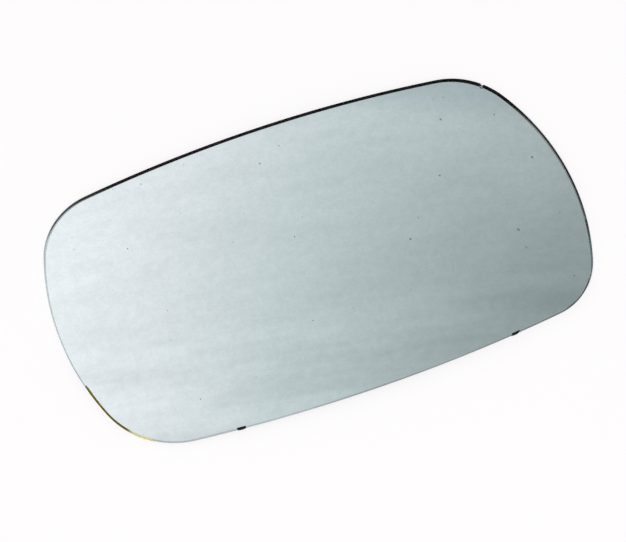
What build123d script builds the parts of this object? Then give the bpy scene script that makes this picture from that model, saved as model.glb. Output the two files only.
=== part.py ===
"""Convex glass of a car door mirror: one bent pane, cut to a four-sided outline and ground round its edge.

The pane lies face up on the rim of its hollow back. +X runs along its length, +Y up its height and +Z out
of the mirror face. The origin is on the surface it lies on, under the middle of the outline. All sizes are
in millimetres.
"""
import os

from build123d import *

# Overall size of the pane
LENGTH = 170.0
HEIGHT = 94.6
THICKNESS = 2.0
FACE_RADIUS = 1260.0

# Each side of the outline is one long arc: its radius, and where its crest lies along the side
TOP_RADIUS = 557.0
TOP_CREST = 1.3
BOTTOM_RADIUS = 504.0
BOTTOM_CREST = 4.6
LEFT_RADIUS = 82.6
LEFT_CREST = 6.7
RIGHT_RADIUS = 74.3
RIGHT_CREST = -3.8

# Rounding of the four corners of the outline
TOP_LEFT_CORNER = 21.0
TOP_RIGHT_CORNER = 24.2
BOTTOM_LEFT_CORNER = 28.5
BOTTOM_RIGHT_CORNER = 20.4

# Radius that is ground on the rim of the face; the rim of the back stays as it was cut
RIM_ROUNDING = 0.2

# Chip knocked out of the edge: its direction from the middle of the pane, the radius of its print on the
# face, how deep it bites there, and how far down the edge it runs out
CHIP_DIRECTION = 28.2
CHIP_RADIUS = 0.6
CHIP_DEPTH = 0.55
CHIP_HEIGHT = 0.4


def behind_side(crest: Vector, facing: float, radius: float) -> Sketch:
    """All that lies behind one side: a disc that has the side on its rim, and the strip behind the disc."""
    disc = Circle(radius) + Pos(-LENGTH, 0) * Rectangle(2 * LENGTH, 2 * radius)
    return Pos(crest) * Rot(0, 0, facing) * Pos(-radius, 0) * disc


def outline() -> Sketch:
    """Flat outline of the pane: what four bowed sides enclose, with its corners rounded."""
    shape = (
        behind_side(Vector(LENGTH / 2, RIGHT_CREST), 0, RIGHT_RADIUS)
        & behind_side(Vector(TOP_CREST, HEIGHT / 2), 90, TOP_RADIUS)
        & behind_side(Vector(-LENGTH / 2, LEFT_CREST), 180, LEFT_RADIUS)
        & behind_side(Vector(BOTTOM_CREST, -HEIGHT / 2), 270, BOTTOM_RADIUS)
    )
    corners = {
        (LENGTH, HEIGHT): TOP_RIGHT_CORNER,
        (-LENGTH, HEIGHT): TOP_LEFT_CORNER,
        (-LENGTH, -HEIGHT): BOTTOM_LEFT_CORNER,
        (LENGTH, -HEIGHT): BOTTOM_RIGHT_CORNER,
    }
    for beyond, radius in corners.items():
        corner = shape.vertices().sort_by_distance(beyond)[0]
        shape = fillet(corner, radius)
    return shape


def bent_sheet() -> Part:
    """Ball-shaped shell that the pane is cut from, with the top of its face at the origin."""
    turned = Pos(0, 0, -FACE_RADIUS) * Rot(90, 0, 0)
    return turned * Sphere(FACE_RADIUS) - turned * Sphere(FACE_RADIUS - THICKNESS)


def cut_pane(shape: Sketch) -> Part:
    """Pane cut from the bent sheet straight along Z, with the rim of its face ground round."""
    pane = extrude(shape, LENGTH, both=True) & bent_sheet()
    face = pane.faces().filter_by(GeomType.SPHERE).sort_by(Axis.Z)[-1]
    return fillet(face.outer_wire().edges(), RIM_ROUNDING)


def chip(shape: Sketch) -> Part:
    """Cone, point down, whose print is the chip, where the chip's direction meets the rim of the face."""
    outward = Vector(1, 0, 0).rotate(Axis.Z, CHIP_DIRECTION)
    rim = (Line((0, 0, 0), outward * LENGTH) & shape).edge() @ 1
    rim_fall = FACE_RADIUS - (FACE_RADIUS**2 - rim.length**2) ** 0.5
    middle = rim + outward * (CHIP_RADIUS - CHIP_DEPTH) - Vector(0, 0, rim_fall)
    point_depth = CHIP_RADIUS * CHIP_HEIGHT / CHIP_DEPTH
    return Pos(middle) * Cone(0, 2 * CHIP_RADIUS, 2 * point_depth)


def mirror_glass() -> Part:
    """Finished pane, lifted so that it lies on the surface."""
    shape = outline()
    pane = cut_pane(shape) - chip(shape)
    return Pos(0, 0, -pane.bounding_box().min.Z) * pane


os.makedirs("parts", exist_ok=True)
export_step(mirror_glass(), "parts/mirror_glass.step")
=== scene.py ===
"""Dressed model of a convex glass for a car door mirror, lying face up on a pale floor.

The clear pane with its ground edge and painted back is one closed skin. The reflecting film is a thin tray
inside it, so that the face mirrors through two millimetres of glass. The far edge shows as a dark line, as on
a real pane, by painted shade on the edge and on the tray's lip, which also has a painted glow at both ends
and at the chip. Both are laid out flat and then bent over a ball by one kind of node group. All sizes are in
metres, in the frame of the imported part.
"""
from __future__ import annotations

import logging
import math
from dataclasses import dataclass, field
from enum import Enum
from functools import cache, cached_property
from typing import Protocol

import bmesh
import bpy
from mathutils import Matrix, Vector
from mathutils.geometry import delaunay_2d_cdt


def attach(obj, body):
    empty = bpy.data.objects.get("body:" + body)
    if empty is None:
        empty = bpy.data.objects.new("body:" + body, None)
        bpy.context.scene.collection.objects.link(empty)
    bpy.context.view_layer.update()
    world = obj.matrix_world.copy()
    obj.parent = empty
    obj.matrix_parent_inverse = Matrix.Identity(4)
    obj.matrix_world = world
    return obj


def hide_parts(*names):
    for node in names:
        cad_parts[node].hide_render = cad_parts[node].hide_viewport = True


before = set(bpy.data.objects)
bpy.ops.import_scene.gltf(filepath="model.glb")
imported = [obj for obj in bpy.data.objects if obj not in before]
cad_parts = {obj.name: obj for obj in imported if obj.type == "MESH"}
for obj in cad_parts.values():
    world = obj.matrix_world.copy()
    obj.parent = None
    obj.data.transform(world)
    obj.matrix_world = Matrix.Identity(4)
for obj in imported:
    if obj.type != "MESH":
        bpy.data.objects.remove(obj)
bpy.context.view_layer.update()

NODE = "mirror_glass"
BODY = "root"

# Mesh layers: the finish of each face, the tint of the edge with its painted shade, the place of the edge,
# and the radius of a clear pit
FINISH = "finish"
EDGE_TINT_AND_SHADE = "edge_tint_and_shade"
EDGE_UV = "edge_run"
PIT_RADIUS = "pit_radius"

# Numbers of the sockets of nodes that mix colours, compare whole numbers and draw by chance
MIX_INPUTS = (0, 6, 7)
MIX_RESULT = 2
COMPARED = (2, 3)
RANDOM_VECTOR = 0
RANDOM_NUMBER = 1

# A full turn, the angle from which an edge is sharp, the steps of a search, the distance at which points
# weld, and how clear of the rim a net stays, in shares of its pitch
TURN = 2 * math.pi
SHARP_FROM = math.radians(25)
HALVINGS = 40
WELD = 1e-9
NET_MARGIN = 0.8

Colour = tuple[float, float, float]
Point = tuple[float, float, float]
Span = tuple[float, float]
Stops = tuple[tuple[float, Colour], ...]
Ring = list[bmesh.types.BMVert]
Inputs = dict[str | int, object]

# White, a pattern as it is, the whole range of a share, and the range where most of a noise lies
WHITE: Colour = (1.0, 1.0, 1.0)
UNSTRETCHED: Point = (1.0, 1.0, 1.0)
FULL_SPAN: Span = (0.0, 1.0)
GRAIN_SPAN: Span = (0.3, 0.7)

log = logging.getLogger("door_mirror_glass")


class PaneFinish(Enum):
    """Finishes on the outside of the pane."""

    CLEAR = 0
    GROUND = 1
    SMEARED = 2
    MARKED = 3
    BROKEN = 4
    PAINTED = 5


class FilmFinish(Enum):
    """Finishes of the film and of the lip that stands round it, with painted shade and, in places, a painted
    glow.
    """

    SILVER = 0
    LIP = 1
    LIT_LIP = 2


class Side(Enum):
    """Sides of the outline, counter-clockwise, by the way that each one faces."""

    RIGHT = (1.0, 0.0)
    TOP = (0.0, 1.0)
    LEFT = (-1.0, 0.0)
    BOTTOM = (0.0, -1.0)


class Board:
    """A node tree that is being wired: adds nodes, sets their constants and joins their sockets."""

    def __init__(self, tree: bpy.types.NodeTree) -> None:
        """Takes over the tree of a material, a world or a node group, and empties it."""
        self.tree = tree
        tree.nodes.clear()

    def add(self, kind: str, inputs: Inputs | None = None, **settings: object) -> bpy.types.Node:
        """Adds a node.

        Args:
            kind: The node's type name.
            inputs: What its inputs take, by their names or numbers.
            settings: Properties of the node, which are set first.

        Returns:
            The new node.
        """
        node = self.tree.nodes.new(kind)
        for name, value in settings.items():
            setattr(node, name, value)
        for socket, value in (inputs or {}).items():
            self.feed(node.inputs[socket], value)
        return node

    def feed(self, socket: bpy.types.NodeSocket, value: object) -> None:
        """Gives an input what it takes: a link from another node's output, or a constant.

        Args:
            socket: The input.
            value: An output socket, a number, a tuple of numbers, a name or a material.
        """
        if isinstance(value, bpy.types.NodeSocket):
            self.tree.links.new(value, socket)
            return
        if isinstance(value, tuple) and socket.type == "RGBA":
            value = (*value, 1.0)
        socket.default_value = value

    def math(self, operation: str, *values: object) -> bpy.types.NodeSocket:
        """Result of an operation on values, each an output of another node or a number."""
        return self.add("ShaderNodeMath", dict(enumerate(values)), operation=operation).outputs[0]

    def axes(self, vector: bpy.types.NodeSocket) -> list[bpy.types.NodeSocket]:
        """X, Y and Z of a vector."""
        return list(self.add("ShaderNodeSeparateXYZ", {0: vector}).outputs)

    def vector(self, *axes: object) -> bpy.types.NodeSocket:
        """Vector from X, Y and Z, each an output of another node or a number."""
        return self.add("ShaderNodeCombineXYZ", dict(enumerate(axes))).outputs[0]

    def squares(self, x: bpy.types.NodeSocket, y: bpy.types.NodeSocket) -> bpy.types.NodeSocket:
        """Sum of the squares of two values."""
        return self.math("MULTIPLY_ADD", y, y, self.math("MULTIPLY", x, x))

    def ramp(self, value: object, span: Span, to: Span = FULL_SPAN) -> bpy.types.NodeSocket:
        """Value that goes smoothly from one span to another and stops at the ends."""
        inputs = dict(enumerate((value, *span, *to)))
        return self.add("ShaderNodeMapRange", inputs, interpolation_type="SMOOTHSTEP").outputs[0]

    def blend(self, share: object, first: object, second: object, mode: str = "MIX") -> bpy.types.NodeSocket:
        """Mix of two colours, or outputs that give them, with this share of the second."""
        inputs = dict(zip(MIX_INPUTS, (share, first, second)))
        return self.add("ShaderNodeMix", inputs, data_type="RGBA", blend_type=mode).outputs[MIX_RESULT]

    def times(self, colour: object, shade: object) -> bpy.types.NodeSocket:
        """Product of a colour and another colour or a grey."""
        return self.blend(1.0, colour, shade, "MULTIPLY")

    def edge_tint_and_shade(self, shade: object) -> bpy.types.NodeSocket:
        """Tint of the edge with its painted shade, as the mesh holds it, times a grey."""
        tint = self.add("ShaderNodeAttribute", attribute_name=EDGE_TINT_AND_SHADE)
        return self.times(tint.outputs["Color"], shade)

    def shades(self, share: bpy.types.NodeSocket, stops: Stops) -> bpy.types.NodeSocket:
        """Turns a share into a colour, in a straight line from stop to stop.

        Args:
            share: The share, from 0 to 1.
            stops: Share and colour of each stop, in turn, the first at 0 and the last at 1.

        Returns:
            The colour.
        """
        node = self.add("ShaderNodeValToRGB", {"Fac": share})
        elements = node.color_ramp.elements
        for at, _ in stops[1:-1]:
            elements.new(at)
        for element, (_, colour) in zip(elements, stops):
            element.color = (*colour, 1.0)
        return node.outputs["Color"]

    def grain(
        self, place: bpy.types.NodeSocket, scale: float, detail: float = 3.0, harshness: float = 0.5
    ) -> bpy.types.NodeSocket:
        """Noise about 0.5, at so many waves to the metre, with finer layers each of this harshness."""
        inputs = {"Vector": place, "Scale": scale, "Detail": detail, "Roughness": harshness}
        return self.add("ShaderNodeTexNoise", inputs).outputs["Fac"]

    def place(self, turn: float = 0.0, stretch: Point = UNSTRETCHED) -> bpy.types.NodeSocket:
        """Adds object coordinates for a pattern that is turned about Z and drawn out.

        Args:
            turn: Angle of the pattern about Z, in degrees.
            stretch: How many times longer the pattern is along each of its axes.

        Returns:
            The coordinates.
        """
        source = self.add("ShaderNodeTexCoord").outputs["Object"]
        inputs = {"Vector": source, "Rotation": (0.0, 0.0, math.radians(turn)), "Scale": stretch}
        return self.add("ShaderNodeMapping", inputs, vector_type="TEXTURE").outputs["Vector"]

    def towards(self, direction: float) -> bpy.types.NodeSocket:
        """Wires the distance from the middle of the pane in one direction.

        Args:
            direction: The direction, in degrees from +X.

        Returns:
            The distance.
        """
        x, y, _ = self.axes(self.place())
        angle = math.radians(direction)
        return self.math("MULTIPLY_ADD", x, math.cos(angle), self.math("MULTIPLY", y, math.sin(angle)))

    def bump(self, height: bpy.types.NodeSocket, strength: float, distance: float) -> bpy.types.NodeSocket:
        """Normal that a height map bends to this strength, at so many metres to a full step."""
        inputs = {"Height": height, "Strength": strength, "Distance": distance}
        return self.add("ShaderNodeBump", inputs).outputs["Normal"]


class Coat(Board):
    """Board of a material that has one principled shader."""

    def __init__(self, name: str) -> None:
        """Starts the material.

        Args:
            name: Its name.
        """
        self.material = bpy.data.materials.new(name)
        self.material.use_nodes = True
        super().__init__(self.material.node_tree)
        self.shader = self.add("ShaderNodeBsdfPrincipled")
        self.output = self.add("ShaderNodeOutputMaterial", {"Surface": self.shader.outputs["BSDF"]})

    def finished(self, inputs: Inputs) -> bpy.types.Material:
        """Sets the shader.

        Args:
            inputs: What its inputs take.

        Returns:
            The material.
        """
        for name, value in inputs.items():
            self.feed(self.shader.inputs[name], value)
        return self.material


class Finish(Protocol):
    """What every finish offers."""

    def material(self) -> bpy.types.Material:
        """Builds the material."""


@cache
def made(finish: Finish) -> bpy.types.Material:
    """Builds the material of a finish, once for all pieces that have it."""
    return finish.material()


@dataclass(frozen=True)
class ClearGlass:
    """Clear float glass of the face and its polished rim, with a faint smear of wiping."""

    tint: Colour = (0.985, 0.999, 0.996)
    glare: Colour = (0.25, 0.25, 0.25)
    index: float = 1.52
    smear_turn: float = -9.0
    smear_stretch: Point = (4.0, 1.0, 1.0)
    smear_scale: float = 60.0
    smear_span: Span = (0.45, 0.75)
    roughness: Span = (0.0, 0.012)

    def material(self) -> bpy.types.Material:
        """Builds the material.

        Returns:
            The material.
        """
        coat = Coat("clear_glass")
        smear = coat.grain(coat.place(self.smear_turn, self.smear_stretch), self.smear_scale)
        return coat.finished({
            "Base Color": self.tint,
            "Transmission Weight": 1.0,
            "IOR": self.index,
            "Specular Tint": self.glare,
            "Roughness": coat.ramp(smear, self.smear_span, self.roughness),
        })


@dataclass(frozen=True)
class GroundGlass:
    """Ground edge, from the face to the back: dull, scored along its length by the wheel."""

    score_length: float = 0.004
    score_height: float = 0.00009
    score_depth: float = 0.00002
    score_strength: float = 0.5
    shade: Span = (0.86, 1.08)
    roughness: Span = (0.5, 0.72)
    gloss: float = 0.005

    def material(self) -> bpy.types.Material:
        """Builds the material, which takes its colour from the edge's tint and painted shade.

        Returns:
            The material.
        """
        coat = Coat("ground_glass")
        edge = coat.add("ShaderNodeUVMap", uv_map=EDGE_UV).outputs["UV"]
        size = (self.score_length, self.score_height, 1.0)
        mapping = coat.add("ShaderNodeMapping", {"Vector": edge, "Scale": size}, vector_type="TEXTURE")
        score = coat.grain(mapping.outputs["Vector"], scale=1.0, detail=4.0)
        return coat.finished({
            "Base Color": coat.edge_tint_and_shade(coat.ramp(score, GRAIN_SPAN, self.shade)),
            "Roughness": coat.ramp(score, GRAIN_SPAN, self.roughness),
            "Specular IOR Level": self.gloss,
            "Normal": coat.bump(score, self.score_strength, self.score_depth),
        })


@dataclass(frozen=True)
class DriedAdhesive:
    """Adhesive that has dried on the edge: blotched and waxy."""

    blotch_scale: float = 1100.0
    blotch_height: float = 0.00005
    blotch_strength: float = 0.5
    shade: Span = (0.8, 1.1)
    roughness: Span = (0.35, 0.6)
    gloss: float = 0.01

    def material(self) -> bpy.types.Material:
        """Builds the material, which takes its colour from the edge's tint and painted shade.

        Returns:
            The material.
        """
        coat = Coat("dried_adhesive")
        blotch = coat.grain(coat.place(), self.blotch_scale)
        return coat.finished({
            "Base Color": coat.edge_tint_and_shade(coat.ramp(blotch, GRAIN_SPAN, self.shade)),
            "Roughness": coat.ramp(blotch, GRAIN_SPAN, self.roughness),
            "Specular IOR Level": self.gloss,
            "Normal": coat.bump(blotch, self.blotch_strength, self.blotch_height),
        })


@dataclass(frozen=True)
class FreshBreak:
    """Broken glass in the chip: pale, with the ripples of a shell-shaped break."""

    pale: Colour = (0.98, 0.99, 0.99)
    deep: Colour = (0.9, 0.93, 0.93)
    roughness: Span = (0.08, 0.3)
    ripple_turn: float = 28.0
    ripple_stretch: Point = (1.0, 2.5, 1.0)
    ripple_scale: float = 2600.0
    ripple_height: float = 0.00006
    ripple_strength: float = 0.6

    def material(self) -> bpy.types.Material:
        """Builds the material.

        Returns:
            The material.
        """
        coat = Coat("fresh_break")
        place = coat.place(self.ripple_turn, self.ripple_stretch)
        ripple = coat.grain(place, self.ripple_scale, detail=2.0)
        return coat.finished({
            "Base Color": coat.blend(ripple, self.deep, self.pale),
            "Roughness": coat.ramp(ripple, GRAIN_SPAN, self.roughness),
            "Normal": coat.bump(ripple, self.ripple_strength, self.ripple_height),
        })


@dataclass(frozen=True)
class BlackDab:
    """Black dab on the edge, a little uneven."""

    black: Colour = (0.003, 0.003, 0.004)
    worn: Colour = (0.01, 0.01, 0.011)
    wear_scale: float = 1800.0
    roughness: Span = (0.45, 0.7)
    gloss: float = 0.03

    def material(self) -> bpy.types.Material:
        """Builds the material.

        Returns:
            The material.
        """
        coat = Coat("black_dab")
        wear = coat.grain(coat.place(), self.wear_scale)
        return coat.finished({
            "Base Color": coat.blend(wear, self.black, self.worn),
            "Roughness": coat.ramp(wear, GRAIN_SPAN, self.roughness),
            "Specular IOR Level": self.gloss,
        })


@dataclass(frozen=True)
class BackPaint:
    """Grey paint over the film on the back, rolled on, with a slight orange peel."""

    grey: Colour = (0.2, 0.21, 0.22)
    thin: Colour = (0.27, 0.28, 0.29)
    roughness: Span = (0.42, 0.6)
    cloud_scale: float = 45.0
    peel_scale: float = 900.0
    peel_height: float = 0.00003
    peel_strength: float = 0.4

    def material(self) -> bpy.types.Material:
        """Builds the material.

        Returns:
            The material.
        """
        coat = Coat("back_paint")
        place = coat.place()
        cloud = coat.grain(place, self.cloud_scale)
        peel = coat.grain(place, self.peel_scale, detail=1.0)
        return coat.finished({
            "Base Color": coat.blend(cloud, self.grey, self.thin),
            "Roughness": coat.ramp(peel, GRAIN_SPAN, self.roughness),
            "Normal": coat.bump(peel, self.peel_strength, self.peel_height),
        })


@dataclass(frozen=True)
class SilverFilm:
    """Reflecting metal with wiping streaks and clouds, broad bands at one corner, and painted shade that dims
    it towards another.
    """

    tint: Colour = (0.892, 0.912, 0.917)
    dimmed: Colour = (0.83, 0.852, 0.856)
    dim_span: Span = (0.3, 0.72)
    roughness: Span = (0.008, 0.03)
    streak_turn: float = -9.0
    streak_stretch: Point = (6.0, 1.0, 1.0)
    streak_scale: float = 210.0
    cloud_scale: float = 34.0
    cloud_share: float = 0.35
    mottle_scale: float = 330.0
    mottle: Span = (0.955, 1.045)
    band_turn: float = -12.0
    band_stretch: Point = (10.0, 1.0, 1.0)
    band_scale: float = 140.0
    bands: Span = (0.935, 1.055)
    band_direction: float = 262.0
    band_span: Span = (0.005, 0.03)
    corner_direction: float = 67.0
    corner_span: Span = (0.046, 0.062)
    corner_painted_shade: Colour = (0.79, 0.825, 0.845)

    def material(self) -> bpy.types.Material:
        """Builds the material.

        Returns:
            The material.
        """
        coat = Coat("silver_film")
        streak = coat.grain(coat.place(self.streak_turn, self.streak_stretch), self.streak_scale, detail=4.0)
        cloud = coat.grain(coat.place(), self.cloud_scale, detail=2.0)
        streaked = coat.math("MULTIPLY", streak, 1 - self.cloud_share)
        dim = coat.ramp(coat.math("MULTIPLY_ADD", cloud, self.cloud_share, streaked), self.dim_span)
        spotted = coat.grain(coat.place(), self.mottle_scale, detail=4.0, harshness=0.9)
        mottle = coat.ramp(spotted, GRAIN_SPAN, self.mottle)
        wiped = coat.grain(coat.place(self.band_turn, self.band_stretch), self.band_scale, detail=2.0)
        banded = coat.ramp(coat.towards(self.band_direction), self.band_span)
        bands = coat.blend(banded, WHITE, coat.ramp(wiped, GRAIN_SPAN, self.bands))
        # Painted shade in the reflection: the film is dimmed towards the far corner
        corner_shade_share = coat.ramp(coat.towards(self.corner_direction), self.corner_span)
        corner = coat.blend(corner_shade_share, WHITE, self.corner_painted_shade)
        colour = coat.blend(dim, self.tint, self.dimmed)
        for shade in (mottle, bands, corner):
            colour = coat.times(colour, shade)
        roughness = coat.ramp(cloud, GRAIN_SPAN, self.roughness)
        return coat.finished({"Base Color": colour, "Metallic": 1.0, "Roughness": roughness})


@dataclass(frozen=True)
class GlowingEdge:
    """Ground edge seen from within, with a painted glow that stands for the light of the pale floor beside
    it.
    """

    pale: Colour = (0.98, 0.94, 0.92)
    painted_glow: Colour = (0.83, 0.77, 0.74)
    roughness: float = 0.6
    gloss: float = 0.005

    def material(self) -> bpy.types.Material:
        """Builds the material, as bright as the edge's tint and painted shade let it be; its emission is a
        painted glow.

        Returns:
            The material.
        """
        coat = Coat("glowing_edge")
        return coat.finished({
            "Base Color": coat.edge_tint_and_shade(self.pale),
            "Roughness": self.roughness,
            "Specular IOR Level": self.gloss,
            # Painted glow: emission that stands for floor light coming in through the edge
            "Emission Color": coat.edge_tint_and_shade(self.painted_glow),
            "Emission Strength": 1.0,
        })


@dataclass(frozen=True)
class LostSilver:
    """Bottom of a pit where the film has gone: dark, with a trace of rust."""

    dark: Colour = (0.49, 0.52, 0.52)
    rusty: Colour = (0.58, 0.59, 0.565)
    grain_scale: float = 900.0
    roughness: Span = (0.6, 0.85)

    def material(self) -> bpy.types.Material:
        """Builds the material.

        Returns:
            The material.
        """
        coat = Coat("lost_silver")
        grain = coat.grain(coat.place(), self.grain_scale)
        roughness = coat.ramp(grain, GRAIN_SPAN, self.roughness)
        return coat.finished({"Base Color": coat.blend(grain, self.dark, self.rusty), "Roughness": roughness})


@dataclass(frozen=True)
class FloorPaint:
    """Plain pale floor without gloss."""

    pale: Colour = (0.985, 0.97, 0.977)
    glow: float = 0.72

    def material(self) -> bpy.types.Material:
        """Builds the material. Seen by the camera it glows a little, which keeps the shadow on it light.

        Returns:
            The material.
        """
        coat = Coat("pale_floor")
        seen = coat.add("ShaderNodeLightPath").outputs["Is Camera Ray"]
        glow = coat.add("ShaderNodeEmission", {"Color": self.pale}).outputs["Emission"]
        shaders = {0: coat.math("MULTIPLY", seen, self.glow), 1: coat.shader.outputs["BSDF"], 2: glow}
        mixed = coat.add("ShaderNodeMixShader", shaders)
        coat.feed(coat.output.inputs["Surface"], mixed.outputs["Shader"])
        return coat.finished({"Base Color": self.pale, "Roughness": 1.0, "Specular IOR Level": 0.0})


def placed(name: str, data: bpy.types.ID) -> bpy.types.Object:
    """Sets an object into the scene.

    Args:
        name: Its name.
        data: Its mesh, light or camera.

    Returns:
        The object.
    """
    thing = bpy.data.objects.new(name, data)
    bpy.context.scene.collection.objects.link(thing)
    return thing


def turned_out(work: bmesh.types.BMesh, name: str) -> bpy.types.Object:
    """Turns a mesh that is finished into an object.

    Args:
        work: The mesh, which is freed.
        name: Name of the piece.

    Returns:
        The object.
    """
    mesh = bpy.data.meshes.new(name)
    work.to_mesh(mesh)
    work.free()
    return placed(name, mesh)


def clamped(share: float) -> float:
    """Share that stays from 0 to 1."""
    return min(1.0, max(0.0, share))


@dataclass(frozen=True)
class Arc:
    """One arc of the outline, run counter-clockwise."""

    centre: Vector
    radius: float
    start: float
    sweep: float

    @property
    def length(self) -> float:
        """Length of the arc."""
        return self.radius * self.sweep

    def at(self, run: float, inset: float) -> Vector:
        """Point at a distance along the arc, or on the line that follows it so far inside."""
        angle = self.start + run / self.radius
        return self.centre + (self.radius - inset) * Vector((math.cos(angle), math.sin(angle)))

    def spans(self, point: Vector) -> bool:
        """Whether a point lies in the sector that the arc closes."""
        return (bearing(self.centre, point) - self.start) % TURN <= self.sweep

    def depth(self, point: Vector) -> float:
        """Distance of a point inside the arc's circle."""
        return self.radius - (point - self.centre).length


def bearing(origin: Vector, point: Vector) -> float:
    """Angle from +X of the way from one point to another."""
    way = point - origin
    return math.atan2(way.y, way.x)


def crossing(first: Vector, first_reach: float, second: Vector, second_reach: float, side: Vector) -> Vector:
    """Finds where two circles cross.

    Args:
        first: Centre of the first circle.
        first_reach: Its radius.
        second: Centre of the second circle.
        second_reach: Its radius.
        side: Direction that tells which of the two crossings is meant.

    Returns:
        The crossing.
    """
    gap = (second - first).length
    step = (second - first) / gap
    along = (first_reach**2 - second_reach**2 + gap**2) / (2 * gap)
    across = math.sqrt(first_reach**2 - along**2) * Vector((-step.y, step.x))
    if across.dot(side) < 0:
        across = -across
    return first + along * step + across


@dataclass(frozen=True)
class Bow:
    """Bow of one side: its radius, and where its crest lies along the side."""

    radius: float
    crest: float


@dataclass(frozen=True)
class Outline:
    """Outline of the pane: four bowed sides whose corners are rounded."""

    length: float = 0.170
    height: float = 0.0946
    right: Bow = Bow(0.0743, -0.0038)
    top: Bow = Bow(0.557, 0.0013)
    left: Bow = Bow(0.0826, 0.0067)
    bottom: Bow = Bow(0.504, 0.0046)
    top_right_corner: float = 0.0242
    top_left_corner: float = 0.0210
    bottom_left_corner: float = 0.0285
    bottom_right_corner: float = 0.0204

    def side_centre(self, side: Side, bow: Bow) -> Vector:
        """Finds the middle of the circle that a side lies on.

        Args:
            side: The side.
            bow: Its bow.

        Returns:
            The middle.
        """
        out_x, out_y = side.value
        out = abs(out_x) * self.length / 2 + abs(out_y) * self.height / 2 - bow.radius
        return Vector((out_x * out + abs(out_y) * bow.crest, out_y * out + abs(out_x) * bow.crest))

    @cached_property
    def arcs(self) -> list[Arc]:
        """Sides and corners in turn, counter-clockwise from the right side."""
        bows = (self.right, self.top, self.left, self.bottom)
        roundings = (
            self.top_right_corner,
            self.top_left_corner,
            self.bottom_left_corner,
            self.bottom_right_corner,
        )
        middles = [self.side_centre(side, bow) for side, bow in zip(Side, bows)]
        faced = [Vector(side.value) for side in Side]
        corners = []
        for this, rounding in enumerate(roundings):
            following = (this + 1) % len(bows)
            reach = bows[this].radius - rounding
            next_reach = bows[following].radius - rounding
            side = faced[this] + faced[following]
            corners.append(crossing(middles[this], reach, middles[following], next_reach, side))
        arcs = []
        for this, (middle, bow, rounding) in enumerate(zip(middles, bows, roundings)):
            start = bearing(middle, corners[this - 1])
            turn = bearing(middle, corners[this])
            end = bearing(middles[(this + 1) % len(bows)], corners[this])
            arcs.append(Arc(middle, bow.radius, start, (turn - start) % TURN))
            arcs.append(Arc(corners[this], rounding, turn, (end - turn) % TURN))
        return arcs

    @cached_property
    def girth(self) -> float:
        """Length of the whole outline."""
        return sum(arc.length for arc in self.arcs)

    def at(self, run: float, inset: float = 0.0) -> Vector:
        """Finds a point of the outline, or of the line that follows it inside.

        Args:
            run: Distance along the outline.
            inset: Distance inside the outline.

        Returns:
            The point.
        """
        left = run % self.girth
        for arc in self.arcs:
            if left <= arc.length:
                return arc.at(left, inset)
            left -= arc.length
        return self.arcs[0].at(0.0, inset)

    def run_towards(self, direction: float) -> float:
        """Finds where a direction from the middle of the pane meets the outline.

        Args:
            direction: Angle from +X, in degrees.

        Returns:
            Distance along the outline.
        """
        middle = Vector((0.0, 0.0))
        start = bearing(middle, self.at(0.0))
        wanted = (math.radians(direction) - start) % TURN
        low, high = 0.0, self.girth
        for _ in range(HALVINGS):
            run = (low + high) / 2
            if (bearing(middle, self.at(run)) - start) % TURN < wanted:
                low = run
            else:
                high = run
        return low

    def depth(self, point: Vector) -> float:
        """Finds how deep inside the outline a point lies.

        Args:
            point: The point.

        Returns:
            Its distance from the nearest side or corner, less than zero outside.
        """
        sides = [arc.depth(point) for arc in self.arcs[::2]]
        corners = [arc.depth(point) for arc in self.arcs[1::2] if arc.spans(point)]
        return min(sides + corners)


@dataclass(frozen=True)
class Chip:
    """Chip knocked out of the rim: a cone, point down, whose axis stands just outside the edge."""

    outline: Outline
    direction: float = 28.2
    radius: float = 0.0006
    bite: float = 0.00055
    height: float = 0.0004

    @cached_property
    def run(self) -> float:
        """Where the chip lies along the outline."""
        return self.outline.run_towards(self.direction)

    @cached_property
    def outward(self) -> Vector:
        """Direction of the chip from the middle of the pane."""
        angle = math.radians(self.direction)
        return Vector((math.cos(angle), math.sin(angle)))

    @cached_property
    def axis(self) -> Vector:
        """Foot of the cone's axis."""
        return self.outline.at(self.run) + (self.radius - self.bite) * self.outward

    @property
    def tip(self) -> float:
        """Depth of the cone's point below the face."""
        return self.radius * self.height / self.bite

    def under(self, point: Vector, depth: float, clearance: float) -> float:
        """Depth of a point once it is lowered until it lies this far behind the broken surface."""
        away = (point - self.axis).length - clearance
        return max(depth, self.tip * (1 - away / self.radius))

    def cleared(self, point: Vector, depth: float, clearance: float) -> Vector:
        """Pushes a point out of the chip, towards the middle of the pane.

        Args:
            point: The point.
            depth: Its depth below the face.
            clearance: How far behind the broken surface it goes.

        Returns:
            The point itself if it lies clear, or else where it goes.
        """
        reach = self.radius * (1 - depth / self.tip) + clearance
        away = point - self.axis
        if reach <= 0 or away.length >= reach:
            return point
        out = away.dot(self.outward)
        across = away - out * self.outward
        if across.length >= reach:
            return point
        return self.axis + across - math.sqrt(reach**2 - across.length_squared) * self.outward


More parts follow.
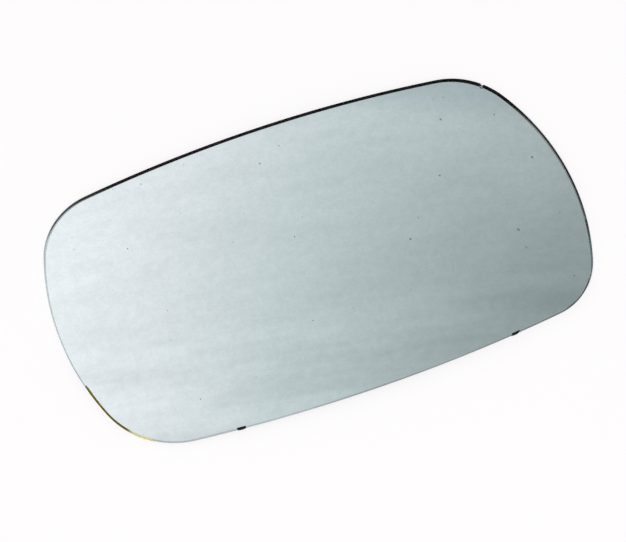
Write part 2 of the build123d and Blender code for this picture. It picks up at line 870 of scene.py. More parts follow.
@dataclass(frozen=True)
class Residue:
    """Dried adhesive that is left on the edge at one corner: olive, yellow at its borders and thin end."""

    outline: Outline
    start_direction: float = 191.7
    thin_direction: float = 205.5
    end_direction: float = 210.9
    fade: float = 0.0012
    thick: Colour = (0.09, 0.078, 0.006)
    thick_border: Colour = (0.32, 0.27, 0.02)
    thin: Colour = (0.64, 0.59, 0.31)
    thin_border: Colour = (0.78, 0.65, 0.06)
    lap: Span = (0.00036, 0.00008)
    rise: Span = (0.00003, 0.00014)

    @cached_property
    def stops(self) -> tuple[float, float, float]:
        """Where the residue starts, thins and ends along the outline."""
        directions = (self.start_direction, self.thin_direction, self.end_direction)
        return tuple(self.outline.run_towards(direction) for direction in directions)

    def over(self, run: float, bare: Colour, at_border: bool) -> Colour:
        """Lays the residue over the bare edge.

        Args:
            run: Distance along the outline.
            bare: Colour of the bare edge there.
            at_border: Whether the border of the residue is meant, not its body.

        Returns:
            The colour that shows.
        """
        thick = self.thick_border if at_border else self.thick
        thin = self.thin_border if at_border else self.thin
        residue = Vector(thick).lerp(Vector(thin), self.thinned(run))
        return tuple(Vector(bare).lerp(residue, self.cover(run)))

    def swell(self, run: float) -> float:
        """How far the residue stands out of the edge: more towards its thin end."""
        low, high = self.rise
        return self.cover(run) * (low + self.spent(run) * (high - low))

    def reach(self, run: float) -> float:
        """How far the residue laps on to the face: less towards its thin end."""
        wide, narrow = self.lap
        return wide + self.spent(run) * (narrow - wide)

    def spent(self, run: float) -> float:
        """Share of the way from the start of the residue to where it is thin."""
        start, thin, _ = self.stops
        return clamped((run - start) / (thin - start))

    def cover(self, run: float) -> float:
        """Share of the edge that the residue covers, which fades out at both ends."""
        start, _, end = self.stops
        return clamped((run - start) / self.fade) * clamped((end - run) / self.fade)

    def thinned(self, run: float) -> float:
        """Share of the residue that is thin, which is half of it where it thins."""
        return clamped((run - self.stops[1]) / self.fade + 0.5)


@dataclass(frozen=True)
class Tone:
    """Painted shade of the ground edge: its grey in one direction from the middle of the pane, in degrees
    from +X.
    """

    direction: float
    grey: float


Tones = tuple[Tone, ...]


@dataclass(frozen=True)
class Rim:
    """Edge of the pane: the stations that its rings have points at, and what lies on it where.

    Its greys are painted shade and light: the edge is black along the far side and pale along the near one.
    """

    outline: Outline
    chip: Chip
    residue: Residue
    pitch: float = 0.001
    chip_pitch: float = 0.0001
    chip_margin: float = 0.0011
    mark_directions: Span = (227.6, 316.0)
    mark_length: float = 0.0027
    mark_pitch: float = 0.0002
    mark_swell: float = 0.00024
    cast: Colour = (0.88, 1.0, 1.05)
    # Painted shade and light on the edge, by direction: black along the far side, pale at the left end and
    # along the near side, dark again at the lower right corner
    painted_shade_tones: Tones = (
        Tone(0.0, 0.003), Tone(143.0, 0.003), Tone(146.0, 0.15), Tone(150.0, 0.45), Tone(154.0, 0.60),
        Tone(162.0, 0.75), Tone(172.0, 0.80), Tone(182.0, 0.55), Tone(186.0, 0.30), Tone(190.0, 0.06),
        Tone(195.0, 0.30), Tone(215.0, 0.50), Tone(240.0, 0.52), Tone(270.0, 0.36), Tone(300.0, 0.34),
        Tone(325.0, 0.20), Tone(328.0, 0.06), Tone(331.0, 0.03), Tone(333.0, 0.08), Tone(337.0, 0.40),
        Tone(341.0, 0.55), Tone(345.0, 0.40), Tone(348.0, 0.12), Tone(352.0, 0.05), Tone(360.0, 0.003),
    )
    dull_directions: Span = (326.0, 334.5)

    @cached_property
    def marks(self) -> list[Span]:
        """Start and end of each black dab along the outline."""
        middles = [self.outline.run_towards(direction) for direction in self.mark_directions]
        return [(run - self.mark_length / 2, run + self.mark_length / 2) for run in middles]

    @cached_property
    def runs(self) -> list[float]:
        """Stations along the outline, with stops at the ends of what lies on it and close together there."""
        chip_start = self.chip.run - self.chip_margin
        pitches = {chip_start: self.chip_pitch, chip_start + 2 * self.chip_margin: self.pitch}
        pitches |= dict.fromkeys(self.residue.stops, self.pitch)
        for start, end in self.marks:
            pitches |= {start: self.mark_pitch, end: self.pitch}
        stops = sorted(pitches)
        runs = []
        for here, there in zip(stops, [*stops[1:], stops[0] + self.outline.girth]):
            count = math.ceil((there - here) / pitches[here])
            runs += [here + (there - here) * step / count for step in range(count)]
        return runs

    @cached_property
    def ends(self) -> list[float]:
        """Station that follows each station, past the full girth after the last one."""
        return [*self.runs[1:], self.runs[0] + self.outline.girth]

    @cached_property
    def finishes(self) -> list[PaneFinish]:
        """What shows on the edge from each station to the next."""
        start, _, end = self.residue.stops
        found = []
        for here, there in zip(self.runs, self.ends):
            middle = (here + there) / 2
            if any(first < middle < last for first, last in self.marks):
                found.append(PaneFinish.MARKED)
            elif start < middle < end:
                found.append(PaneFinish.SMEARED)
            else:
                found.append(PaneFinish.GROUND)
        return found

    @cached_property
    def dull(self) -> list[bool]:
        """Whether the rounding from each station to the next is ground right up to the face."""
        first, last = (self.outline.run_towards(direction) for direction in self.dull_directions)
        return [first < run < last for run in self.runs]

    def shaded_tints(self, at_border: bool = False) -> list[Colour]:
        """Colour of the edge at each station, its painted shade with the residue over it, or of where the
        residue borders on the face and the back.
        """
        bare = self.painted_shades(self.painted_shade_tones)
        return [self.residue.over(run, tint, at_border) for run, tint in zip(self.runs, bare)]

    def painted_shades(self, painted_shade_tones: Tones) -> list[Colour]:
        """Paints shade on the bare edge, evenly from tone to tone.

        Args:
            painted_shade_tones: The painted tones in turn, the first at 0 and the last at 360 degrees.

        Returns:
            Its colour at each station.
        """
        colours = []
        for run in self.runs:
            direction = math.degrees(bearing(Vector((0.0, 0.0)), self.outline.at(run))) % 360
            after = next(index for index, tone in enumerate(painted_shade_tones[1:], 1) if direction <= tone.direction)
            here, there = painted_shade_tones[after - 1], painted_shade_tones[after]
            share = (direction - here.direction) / (there.direction - here.direction)
            grey = here.grey + share * (there.grey - here.grey)
            colours.append(tuple(grey * part for part in self.cast))
        return colours

    def swell(self, run: float) -> float:
        """Finds how far a dab or the residue stands out of the edge.

        Args:
            run: Distance along the outline.

        Returns:
            The distance, which is zero on the bare edge.
        """
        for start, end in self.marks:
            if start < run < end:
                return self.mark_swell * math.sqrt(math.sin(math.pi * (run - start) / (end - start)))
        return self.residue.swell(run)


class Skin:
    """Closed skin of a piece, laid out flat: rings of points round the rim, bands between them and caps."""

    def __init__(self, rim: Rim) -> None:
        """Starts an empty skin.

        Args:
            rim: The edge that the rings follow.
        """
        self.rim = rim
        self.mesh = bmesh.new()
        self.finish = self.mesh.faces.layers.int.new(FINISH)
        self.tint = self.mesh.verts.layers.float_color.new(EDGE_TINT_AND_SHADE)
        self.uv = self.mesh.loops.layers.uv.new(EDGE_UV)
        self.chipped: set[bmesh.types.BMVert] = set()

    def ring(self, insets: list[float], depth: float, shaded_tints: list[Colour], clearance: float = 0.0) -> Ring:
        """Adds a ring of points, which is pushed back to the broken surface in the chip.

        Args:
            insets: Its distance inside the outline at each station.
            depth: Its depth below the face.
            shaded_tints: Its colour at each station, painted shade included.
            clearance: How far behind the broken surface it goes.

        Returns:
            The ring.
        """
        ring = []
        for run, inset, tint in zip(self.rim.runs, insets, shaded_tints):
            point = self.rim.outline.at(run, inset)
            clear = self.rim.chip.cleared(point, depth, clearance)
            ring.append(self.vert(clear, depth, tint))
            if clear is not point:
                self.chipped.add(ring[-1])
        return ring

    def sunk_ring(self, inset: float, depth: float, shaded_tints: list[Colour]) -> Ring:
        """Adds a ring of points, which dips below the chip and stays as far behind it as inside the outline.

        Args:
            inset: Its distance inside the outline.
            depth: Its depth below the face.
            shaded_tints: Its colour at each station, painted shade included.

        Returns:
            The ring.
        """
        ring = []
        for run, tint in zip(self.rim.runs, shaded_tints):
            point = self.rim.outline.at(run, inset)
            ring.append(self.vert(point, self.rim.chip.under(point, depth, inset), tint))
        return ring

    def vert(self, point: Vector, depth: float, tint: Colour) -> bmesh.types.BMVert:
        """Adds one point of a ring.

        Args:
            point: Where it lies in the plane of the outline.
            depth: Its depth below the face.
            tint: Colour of the edge there.

        Returns:
            The point.
        """
        vert = self.mesh.verts.new((point.x, point.y, -depth))
        vert[self.tint] = (*tint, 1.0)
        return vert

    def band(self, upper: Ring, lower: Ring, finishes: list[Enum], broken: Enum | None = None) -> None:
        """Joins two rings by a band of faces.

        Args:
            upper: The first ring.
            lower: The second ring.
            finishes: Finish of each face, from each station to the next.
            broken: Finish of the faces that lie in the chip, if they have one of their own.
        """
        stations = zip(self.rim.runs, self.rim.ends)
        for here, (run, next_run) in enumerate(stations):
            there = (here + 1) % len(upper)
            corners = (lower[here], lower[there], upper[there], upper[here])
            face = self.mesh.faces.new(corners)
            in_chip = broken is not None and self.chipped.issuperset(corners[2:])
            face[self.finish] = (broken if in_chip else finishes[here]).value
            for loop, along in zip(face.loops, (run, next_run, next_run, run)):
                loop[self.uv].uv = (along, loop.vert.co.z)

    def cap(self, ring: Ring, depth: float, pitch: float, finish: Enum) -> None:
        """Closes a ring with a net of triangles.

        Args:
            ring: The ring.
            depth: Depth of the net below the face.
            pitch: Length of the net's sides.
            finish: Finish of its faces.
        """
        border = [vert.co.xy for vert in ring]
        loop = list(range(len(border)))
        points, _, triangles, sources, _, _ = delaunay_2d_cdt(border + self.net(pitch), [], [loop], 1, WELD)
        verts = []
        for point, source in zip(points, sources):
            on_border = source and source[0] < len(ring)
            verts.append(ring[source[0]] if on_border else self.mesh.verts.new((point.x, point.y, -depth)))
        for triangle in triangles:
            face = self.mesh.faces.new([verts[index] for index in triangle])
            face[self.finish] = finish.value
            for corner in face.loops:
                corner[self.uv].uv = corner.vert.co.xy

    def crease(self, ring: Ring) -> None:
        """Keeps the shading on the two sides of a ring apart."""
        for here, there in zip(ring, [*ring[1:], ring[0]]):
            self.mesh.edges.get((here, there)).smooth = False

    def net(self, pitch: float) -> list[Vector]:
        """Points of a triangular net that stay clear of the outline.

        Args:
            pitch: Length of the net's sides.

        Returns:
            The points.
        """
        row_step = pitch * math.sqrt(3) / 2
        rows = math.ceil(self.rim.outline.height / 2 / row_step)
        columns = math.ceil(self.rim.outline.length / 2 / pitch)
        points = []
        for row in range(-rows, rows + 1):
            shift = pitch / 2 * (row % 2)
            for column in range(-columns, columns + 1):
                points.append(Vector((column * pitch + shift, row * row_step)))
        return [point for point in points if self.rim.outline.depth(point) > pitch * NET_MARGIN]

    def finished(self, name: str) -> bpy.types.Object:
        """Turns the skin into an object, with its creases marked and its faces outward.

        Args:
            name: Name of the piece.

        Returns:
            The object, still flat.
        """
        bmesh.ops.recalc_face_normals(self.mesh, faces=self.mesh.faces[:])
        for face in self.mesh.faces:
            face.smooth = True
        for edge in self.mesh.edges:
            if edge.calc_face_angle(0.0) > SHARP_FROM:
                edge.smooth = False
        return turned_out(self.mesh, name)


class NodeTree:
    """A Geometry Nodes group that is built here, run once on a piece and then applied to its mesh."""

    def __init__(self, name: str, inputs: dict[str, str]) -> None:
        """Starts a group with a mesh in, a mesh out and named inputs.

        Args:
            name: Name of the group.
            inputs: Socket type of each further input, by its name.
        """
        self.group = bpy.data.node_groups.new(name, "GeometryNodeTree")
        self.board = Board(self.group)
        sides = self.group.interface
        sides.new_socket("Mesh", in_out="INPUT", socket_type="NodeSocketGeometry")
        sides.new_socket("Mesh", in_out="OUTPUT", socket_type="NodeSocketGeometry")
        for label, kind in inputs.items():
            sides.new_socket(label, in_out="INPUT", socket_type=kind)
        self.inputs = self.board.add("NodeGroupInput").outputs
        self.output = self.board.add("NodeGroupOutput").inputs["Mesh"]

    def picked(self, place: Enum) -> bpy.types.NodeSocket:
        """Adds a test for the faces of one place.

        Args:
            place: The place.

        Returns:
            Whether a face belongs to it.
        """
        inputs = dict(zip(COMPARED, (self.stored(FINISH, "INT"), place.value)))
        test = self.board.add("FunctionNodeCompare", inputs, data_type="INT", operation="EQUAL")
        return test.outputs["Result"]

    def stored(self, layer: str, kind: str) -> bpy.types.NodeSocket:
        """What a layer of the mesh holds."""
        node = self.board.add("GeometryNodeInputNamedAttribute", {"Name": layer}, data_type=kind)
        return node.outputs["Attribute"]

    def close(self, geometry: bpy.types.NodeSocket, finishes: dict[Enum | None, Finish]) -> None:
        """Ends the tree: real faces, and a material for each finish.

        Args:
            geometry: What the tree has made.
            finishes: The finish in each place, or of everything under None.
        """
        node = self.board.add("GeometryNodeRealizeInstances", {"Geometry": geometry})
        for place, finish in finishes.items():
            inputs = {"Geometry": node.outputs["Geometry"], "Material": made(finish)}
            if place is not None:
                inputs["Selection"] = self.picked(place)
            node = self.board.add("GeometryNodeSetMaterial", inputs)
        self.board.feed(self.output, node.outputs["Geometry"])

    def apply(self, piece: bpy.types.Object, values: dict[str, float | int]) -> None:
        """Runs the tree on a piece and keeps the result as its plain mesh.

        Args:
            piece: The piece.
            values: Value of each named input.
        """
        modifier = piece.modifiers.new(self.group.name, "NODES")
        modifier.node_group = self.group
        for socket in self.group.interface.items_tree:
            if socket.in_out == "INPUT" and socket.name in values:
                modifier[socket.identifier] = values[socket.name]
        graph = bpy.context.evaluated_depsgraph_get()
        grown = piece.evaluated_get(graph)
        mesh = bpy.data.meshes.new_from_object(grown, preserve_all_data_layers=True, depsgraph=graph)
        mesh.name = piece.name
        piece.modifiers.remove(modifier)
        piece.data = mesh


@dataclass(frozen=True)
class Ball:
    """Ball that the sheet is bent over, and the height of the face at its crown."""

    radius: float
    crown: float

    @classmethod
    def under(cls, rim: Rim, radius: float, thickness: float) -> Ball:
        """Finds the ball of a pane that lies on the rim of its back.

        Args:
            rim: Edge of the pane.
            radius: Radius of the face.
            thickness: Thickness of the sheet.

        Returns:
            The ball.
        """
        back = radius - thickness
        reach = max(rim.outline.at(run).length for run in rim.runs)
        return cls(radius, thickness + back - math.sqrt(back**2 - reach**2))

    def height(self, x: float, y: float, depth: float) -> float:
        """Height above the floor of a place on the pane, at this depth below the face."""
        return self.crown - self.radius + math.sqrt((self.radius - depth) ** 2 - x**2 - y**2)

    def bend(self, piece: bpy.types.Object, finishes: dict[Enum, Finish]) -> None:
        """Bends a flat piece over the ball and dresses it.

        A point's height in the flat piece, zero on the face and negative below it, tells which of the balls
        round the same middle it belongs on.

        Args:
            piece: The flat piece.
            finishes: The finish in each place.
        """
        sizes = {"Face Radius": self.radius, "Crown": self.crown}
        tree = NodeTree(f"bend_{piece.name}", dict.fromkeys(sizes, "NodeSocketFloat"))
        board = tree.board
        x, y, z = board.axes(board.add("GeometryNodeInputPosition").outputs["Position"])
        layer = board.math("ADD", tree.inputs["Face Radius"], z)
        squares = board.squares(x, y)
        rise = board.math("SQRT", board.math("SUBTRACT", board.math("MULTIPLY", layer, layer), squares))
        middle = board.math("SUBTRACT", tree.inputs["Crown"], tree.inputs["Face Radius"])
        height = board.math("ADD", rise, middle)
        inputs = {"Geometry": tree.inputs["Mesh"], "Position": board.vector(x, y, height)}
        tree.close(board.add("GeometryNodeSetPosition", inputs).outputs["Geometry"], finishes)
        tree.apply(piece, sizes)


@dataclass
class GlassPane:
    """The pane itself: face, rounded rim, ground wall with its marks, residue and chip, and painted back."""

    rim: Rim
    thickness: float = 0.002
    face_radius: float = 1.26
    rounding: float = 0.0002
    rounding_steps: int = 6
    polished_steps: int = 3
    dull_steps: int = 1
    chip_clearance: float = 0.00004
    border_depth: float = 0.001
    wall_depths: tuple[float, ...] = (0.0003, 0.0004, 0.0008, 0.0012, 0.0016, 0.002)
    net_pitch: float = 0.0025
    name: str = "glass_pane"
    finishes: dict[PaneFinish, Finish] = field(
        default_factory=lambda: {
            PaneFinish.CLEAR: ClearGlass(),
            PaneFinish.GROUND: GroundGlass(),
            PaneFinish.SMEARED: DriedAdhesive(),
            PaneFinish.MARKED: BlackDab(),
            PaneFinish.BROKEN: FreshBreak(),
            PaneFinish.PAINTED: BackPaint(),
        }
    )

    @cached_property
    def ball(self) -> Ball:
        """Ball that the pane is bent over."""
        return Ball.under(self.rim, self.face_radius, self.thickness)

    def insets(self, out: float) -> list[float]:
        """How far inside the outline a ring lies, at a share of the way from the face out to the wall."""
        return [self.rounding * (1 - out) - out * self.rim.swell(run) for run in self.rim.runs]

    def rounded(self, step: int) -> list[PaneFinish]:
        """Finds what shows on a step of the rounding, whose first steps are polished where they are bare.

        Args:
            step: Number of the step, from the face down, where 0 is the border of the face itself.

        Returns:
            The finish from each station to the next.
        """
        found = []
        for over, dull in zip(self.rim.finishes, self.rim.dull):
            polished = step < (self.dull_steps if dull else self.polished_steps)
            found.append(PaneFinish.CLEAR if polished and over is PaneFinish.GROUND else over)
        return found

    def build(self) -> bpy.types.Object:
        """Lays the pane out flat.

        Returns:
            The flat pane.
        """
        skin = Skin(self.rim)
        edge = self.rim.finishes
        shaded_tints = self.rim.shaded_tints()
        border = self.rim.shaded_tints(at_border=True)
        runs = self.rim.runs
        reaches = [self.rounding + self.rim.residue.reach(run) for run in runs]
        inner = skin.ring(reaches, 0.0, border, self.chip_clearance)
        upper = skin.ring(self.insets(0.0), 0.0, shaded_tints)
        skin.cap(inner, 0.0, self.net_pitch, PaneFinish.CLEAR)
        thin = [self.rim.residue.thinned(run) > 0 for run in runs]
        over = self.rounded(0)
        skin.band(inner, upper, [PaneFinish.CLEAR if gone else finish for gone, finish in zip(thin, over)])
        skin.crease(upper)
        for step in range(1, self.rounding_steps + 1):
            angle = math.pi / 2 * step / self.rounding_steps
            lower = skin.ring(self.insets(math.sin(angle)), self.rounding * (1 - math.cos(angle)), shaded_tints)
            skin.band(upper, lower, self.rounded(step), PaneFinish.BROKEN)
            upper = lower
        for depth in self.wall_depths:
            lower = skin.ring(self.insets(1.0), depth, shaded_tints if depth < self.border_depth else border)
            skin.band(upper, lower, edge, PaneFinish.BROKEN)
            upper = lower
        skin.cap(upper, self.thickness, self.net_pitch, PaneFinish.PAINTED)
        return skin.finished(self.name)

    def dress(self, pane: bpy.types.Object) -> None:
        """Bends the pane, gives it its finishes and sets it on the part's body.

        Args:
            pane: The flat pane.
        """
        self.ball.bend(pane, self.finishes)
        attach(pane, BODY)
        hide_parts(NODE)


@dataclass
class FilmTray:
    """Reflecting film just above the back, with a lip round it: a thin wall of painted shade for the ground
    edge seen from within.

    At both ends, and at the chip, the lip has a painted glow for light from outside, most of it at its top.
    """

    rim: Rim
    ball: Ball
    thickness: float = 0.002
    film_depth: float = 0.00175
    underside: float = 0.00002
    lip_inside: float = 0.00003
    lip_outside: float = 0.00001
    waist: float = 0.0012
    inside_top: float = 0.00012
    outside_top: float = 0.00016
    # Painted shade and light on the lip, by direction: black along the far side, pale at the left end and
    # along the near side
    foot_painted_shade_tones: Tones = (
        Tone(0.0, 0.003), Tone(147.0, 0.005), Tone(150.0, 0.02), Tone(154.0, 0.05), Tone(158.0, 0.42),
        Tone(162.0, 0.40), Tone(168.0, 0.55), Tone(174.0, 0.65), Tone(186.0, 0.60), Tone(192.0, 0.25),
        Tone(193.0, 0.80), Tone(325.0, 0.80), Tone(342.0, 0.60), Tone(346.0, 0.20), Tone(350.0, 0.03),
        Tone(360.0, 0.003),
    )
    top_painted_shade_tones: Tones = (
        Tone(0.0, 0.36), Tone(12.0, 0.45), Tone(20.0, 0.003), Tone(141.0, 0.003), Tone(146.0, 0.20),
        Tone(150.0, 0.70), Tone(154.0, 1.0), Tone(188.0, 1.0), Tone(192.0, 0.30), Tone(193.0, 0.80),
        Tone(325.0, 0.80), Tone(342.0, 0.60), Tone(350.0, 0.25), Tone(360.0, 0.36),
    )
    glow_directions: tuple[Span, ...] = ((141.0, 192.0), (348.0, 20.0))
    chip_painted_light: Colour = (0.95, 1.0, 1.0)
    chip_span: float = 0.0007
    net_pitch: float = 0.0025
    name: str = "silver_film"
    finishes: dict[FilmFinish, Finish] = field(
        default_factory=lambda: {
            FilmFinish.SILVER: SilverFilm(),
            FilmFinish.LIP: GroundGlass(),
            FilmFinish.LIT_LIP: GlowingEdge(),
        }
    )

    def build(self) -> bpy.types.Object:
        """Lays the tray out flat.

        Returns:
            The flat tray.
        """
        skin = Skin(self.rim)
        lip = [FilmFinish.LIT_LIP if self.gets_painted_glow(run) else FilmFinish.LIP for run in self.rim.runs]
        low = self.rim.painted_shades(self.foot_painted_shade_tones)
        high = [self.lit(run, tint) for run, tint in zip(self.rim.runs, self.rim.painted_shades(self.top_painted_shade_tones))]
        base_depth = self.thickness - self.underside
        rings = [
            skin.sunk_ring(self.lip_inside, self.film_depth, low),
            skin.sunk_ring(self.lip_inside, self.waist, low),
            skin.sunk_ring(self.lip_inside, self.inside_top, high),
            skin.sunk_ring(self.lip_outside, self.outside_top, high),
            skin.sunk_ring(self.lip_outside, base_depth, low),
        ]
        skin.cap(rings[0], self.film_depth, self.net_pitch, FilmFinish.SILVER)
        for upper, lower in zip(rings, rings[1:]):
            skin.band(upper, lower, lip)
        skin.cap(rings[-1], base_depth, self.net_pitch, FilmFinish.LIP)
        return skin.finished(self.name)

    @cached_property
    def glow_runs(self) -> list[Span]:
        """Where along the outline the lip's painted glow starts and stops, at each end."""
        towards = self.rim.outline.run_towards
        return [(towards(first), towards(last)) for first, last in self.glow_directions]

    def gets_painted_glow(self, run: float) -> bool:
        """Whether the lip gets the painted glow, at both ends and at the chip."""
        at_end = any(first < run % self.rim.outline.girth < last for first, last in self.glow_runs)
        return at_end or abs(run - self.rim.chip.run) < self.chip_span

    def lit(self, run: float, tint: Colour) -> Colour:
        """Colour of the top of the lip, with painted light at the chip."""
        light = max(0.0, 1 - abs(run - self.rim.chip.run) / self.chip_span)
        return tuple(Vector(tint).lerp(Vector(self.chip_painted_light), light))

    def dress(self, tray: bpy.types.Object) -> None:
        """Bends the tray, gives it its finishes and sets it on the part's body.

        Args:
            tray: The flat tray.
        """
        self.ball.bend(tray, self.finishes)
        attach(tray, BODY)


@dataclass(frozen=True)
class Pit:
    """One clear pit: its place on the film, from the middle of the pane, and its radius."""

    x: float
    y: float
    radius: float


@dataclass
class SilverPits:
    """Pits where the film has gone: thin dark grains, the clear ones placed and fine ones strewn."""

    ball: Ball
    film_depth: float
    clear: tuple[Pit, ...] = (
        Pit(-0.008, 0.035, 0.0003), Pit(0.053, 0.0305, 0.00036), Pit(0.076, 0.008, 0.00045),
        Pit(0.045, 0.0115, 0.00035), Pit(0.028, -0.006, 0.00037), Pit(-0.0565, 0.0215, 0.00021),
        Pit(-0.046, 0.0415, 0.00022), Pit(0.0615, -0.014, 0.00055), Pit(0.0705, 0.0265, 0.0003),
        Pit(-0.006, 0.007, 0.00024), Pit(0.072, -0.034, 0.00035), Pit(-0.01, -0.021, 0.00018),
        Pit(0.0615, -0.0205, 0.00035), Pit(0.057, 0.038, 0.00025), Pit(0.0, 0.039, 0.00022),
        Pit(-0.05, -0.0325, 0.0002), Pit(0.0765, -0.013, 0.00025), Pit(-0.0015, 0.0125, 0.00017),
        Pit(0.033, 0.0, 0.0002),
    )
    density: float = 3000.0
    smallest: float = 0.00006
    largest: float = 0.00016
    skew: float = 1.3
    stretch: float = 1.3
    flatness: float = 0.08
    seed: int = 11
    name: str = "silver_pits"
    finish: LostSilver = LostSilver()

    def build(self, tray: bpy.types.Object) -> bpy.types.Object:
        """Starts the piece from the film that the pits lie on, with a loose point for each clear pit.

        Args:
            tray: The finished film.

        Returns:
            An object with the film's mesh and the points.
        """
        bed = bmesh.new()
        bed.from_mesh(tray.data)
        radius = bed.verts.layers.float.new(PIT_RADIUS)
        for pit in self.clear:
            spot = bed.verts.new((pit.x, pit.y, self.ball.height(pit.x, pit.y, self.film_depth)))
            spot[radius] = pit.radius
        return turned_out(bed, self.name)

    def strew(self, tree: NodeTree) -> bpy.types.NodeSocket:
        """Wires the fine pits, strewn over the film.

        Args:
            tree: The node group.

        Returns:
            A point for each pit, which holds its radius.
        """
        board = tree.board
        given = tree.inputs
        bed = {name: given[name] for name in ("Mesh", "Density", "Seed")}
        bed["Selection"] = tree.picked(FilmFinish.SILVER)
        strewn = board.add("GeometryNodeDistributePointsOnFaces", bed)
        chance = board.add("FunctionNodeRandomValue", {"Seed": given["Seed"]}, data_type="FLOAT")
        share = board.math("POWER", chance.outputs[RANDOM_NUMBER], self.skew)
        spread = board.math("SUBTRACT", given["Largest"], given["Smallest"])
        radius = board.math("MULTIPLY_ADD", share, spread, given["Smallest"])
        inputs = {"Geometry": strewn.outputs["Points"], "Name": PIT_RADIUS, "Value": radius}
        sized = board.add("GeometryNodeStoreNamedAttribute", inputs, data_type="FLOAT", domain="POINT")
        return sized.outputs["Geometry"]

    def dress(self, pits: bpy.types.Object) -> None:
        """Sets a grain in every clear pit, strews the fine ones and sets them all on the part's body.

        Args:
            pits: The object with the film's mesh and the points.
        """
        values = {"Density": self.density, "Smallest": self.smallest, "Largest": self.largest}
        values["Seed"] = self.seed
        tree = NodeTree("strew_pits", dict.fromkeys(values, "NodeSocketFloat") | {"Seed": "NodeSocketInt"})
        board = tree.board
        radius = tree.stored(PIT_RADIUS, "FLOAT")
        bed = {"Mesh": tree.inputs["Mesh"], "Selection": board.math("GREATER_THAN", radius, 0.0)}
        clear = board.add("GeometryNodeMeshToPoints", bed)
        spots = board.add("GeometryNodeJoinGeometry", {"Geometry": self.strew(tree)})
        board.feed(spots.inputs["Geometry"], clear.outputs["Points"])
        turns = {0: (0.0, 0.0, 0.0), 1: (0.0, 0.0, TURN), "Seed": tree.inputs["Seed"]}
        turn = board.add("FunctionNodeRandomValue", turns, data_type="FLOAT_VECTOR")
        length = board.math("MULTIPLY", radius, self.stretch)
        height = board.math("MULTIPLY", radius, self.flatness)
        grains = {
            "Points": spots.outputs["Geometry"],
            "Instance": board.add("GeometryNodeMeshIcoSphere").outputs["Mesh"],
            "Rotation": turn.outputs[RANDOM_VECTOR],
            "Scale": board.vector(length, radius, height),
        }
        set_in = board.add("GeometryNodeInstanceOnPoints", grains)
        tree.close(set_in.outputs["Instances"], {None: self.finish})
        tree.apply(pits, values)
        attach(pits, BODY)


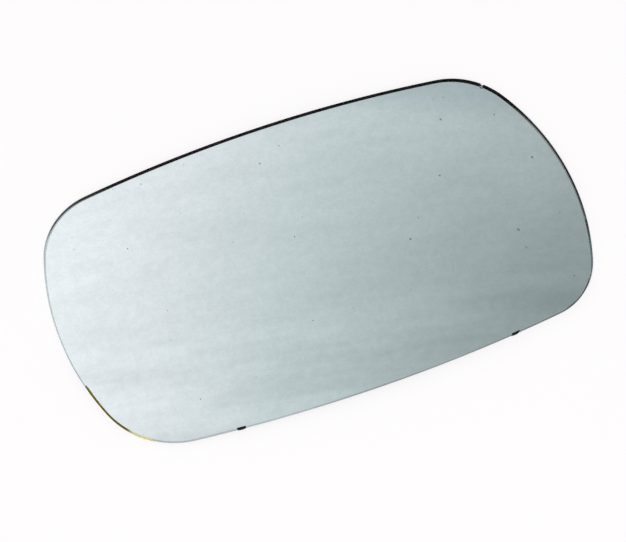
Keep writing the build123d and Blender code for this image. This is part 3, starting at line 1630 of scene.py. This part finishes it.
@dataclass
class Studio:
    """Pale floor, soft light and camera. The pane mirrors a ceiling that is dark on the camera's right."""

    floor_size: float = 6.0
    soft_white: Colour = (0.61, 0.61, 0.61)
    background: Colour = WHITE
    dark_spot: Span = (0.441, 0.119)
    dark_reach: float = 0.75
    dark_fade: float = 1.172
    ceiling: Stops = (
        (0.0, (0.247, 0.292, 0.296)),
        (0.5, (0.595, 0.670, 0.677)),
        (0.75, (0.820, 0.859, 0.884)),
        (1.0, (1.011, 1.047, 1.079)),
    )
    wall_low: Colour = (0.74, 0.76, 0.77)
    wall_high: Colour = (0.52, 0.55, 0.56)
    wall_span: Span = (0.0, 0.35)
    ceiling_span: Span = (0.5, 0.68)
    lamp_watts: float = 12.3
    lamp_size: float = 1.2
    lamp_place: Point = (-0.25, -0.55, 1.35)
    lens: float = 70.0
    film_width: float = 36.0
    nearest: float = 0.01
    aim: Point = (-0.00398, -0.00443, 0.0)
    azimuth: float = -19.86
    elevation: float = 69.0
    distance: float = 0.38236

    def build(self) -> None:
        """Sets up floor, light, surroundings and camera."""
        self.lay_floor()
        self.light_world()
        self.hang_lamp()
        self.set_camera()
        bpy.context.scene.view_settings.view_transform = "Standard"

    def lay_floor(self) -> None:
        """Lays the floor."""
        half = self.floor_size / 2
        corners = [(-half, -half, 0.0), (half, -half, 0.0), (half, half, 0.0), (-half, half, 0.0)]
        mesh = bpy.data.meshes.new("floor")
        mesh.from_pydata(corners, [], [(0, 1, 2, 3)])
        mesh.materials.append(made(FloorPaint()))
        floor = placed("floor", mesh)

    def mirrored(self, board: Board) -> bpy.types.NodeSocket:
        """Wires what the pane mirrors: a ceiling that is lit from one side, and pale walls below it.

        Args:
            board: Board of the world.

        Returns:
            The colour in each direction.
        """
        x, y, z = board.axes(board.add("ShaderNodeTexCoord").outputs["Generated"])
        off = [board.math("SUBTRACT", way, dark) for way, dark in zip((x, y), self.dark_spot)]
        share = board.math("DIVIDE", board.math("SQRT", board.squares(*off)), self.dark_reach)
        lit = board.math("MINIMUM", board.math("POWER", share, self.dark_fade), 1.0)
        ceiling = board.shades(lit, self.ceiling)
        wall = board.blend(board.ramp(z, self.wall_span), self.wall_low, self.wall_high)
        return board.blend(board.ramp(z, self.ceiling_span), wall, ceiling)

    def light_world(self) -> None:
        """Lights the room evenly, and shows glass and metal what they mirror."""
        world = bpy.data.worlds.new("studio")
        world.use_nodes = True
        board = Board(world.node_tree)
        ray = board.add("ShaderNodeLightPath").outputs
        seen = board.math("MAXIMUM", ray["Is Glossy Ray"], ray["Is Transmission Ray"])
        around = board.blend(seen, self.soft_white, self.mirrored(board))
        shown = board.blend(ray["Is Camera Ray"], around, self.background)
        background = board.add("ShaderNodeBackground", {"Color": shown})
        board.add("ShaderNodeOutputWorld", {"Surface": background.outputs["Background"]})
        bpy.context.scene.world = world

    def hang_lamp(self) -> None:
        """Hangs one soft lamp, which glass and metal do not mirror."""
        light = bpy.data.lights.new("soft_lamp", "AREA")
        light.energy = self.lamp_watts
        light.size = self.lamp_size
        lamp = placed("soft_lamp", light)
        lamp.location = self.lamp_place
        lamp.rotation_euler = (-Vector(self.lamp_place)).to_track_quat("-Z", "Y").to_euler()
        lamp.visible_glossy = False
        lamp.visible_transmission = False

    def set_camera(self) -> None:
        """Sets the camera at the photograph's angle."""
        azimuth = math.radians(self.azimuth)
        elevation = math.radians(self.elevation)
        flat = math.cos(elevation)
        back = Vector((math.sin(azimuth) * flat, -math.cos(azimuth) * flat, math.sin(elevation)))
        lens = bpy.data.cameras.new("camera")
        lens.lens = self.lens
        lens.sensor_width = self.film_width
        lens.clip_start = self.nearest
        camera = placed("camera", lens)
        camera.location = Vector(self.aim) + self.distance * back
        camera.rotation_euler = (-back).to_track_quat("-Z", "Y").to_euler()
        bpy.context.scene.camera = camera


def report(piece: bpy.types.Object) -> None:
    """Logs a finished piece."""
    log.info("%s: %d faces, %d materials", piece.name, len(piece.data.polygons), len(piece.data.materials))


def main() -> None:
    """Builds the pane, its film, the pits in the film and the studio."""
    logging.basicConfig(level=logging.INFO, format="%(name)s: %(message)s")
    outline = Outline()
    rim = Rim(outline, Chip(outline), Residue(outline))

    glass = GlassPane(rim)
    pane = glass.build()
    glass.dress(pane)
    report(pane)

    film = FilmTray(rim, glass.ball)
    tray = film.build()
    film.dress(tray)
    report(tray)

    worn = SilverPits(glass.ball, film.film_depth)
    pits = worn.build(tray)
    worn.dress(pits)
    report(pits)

    Studio().build()


if __name__ == "__main__":
    main()
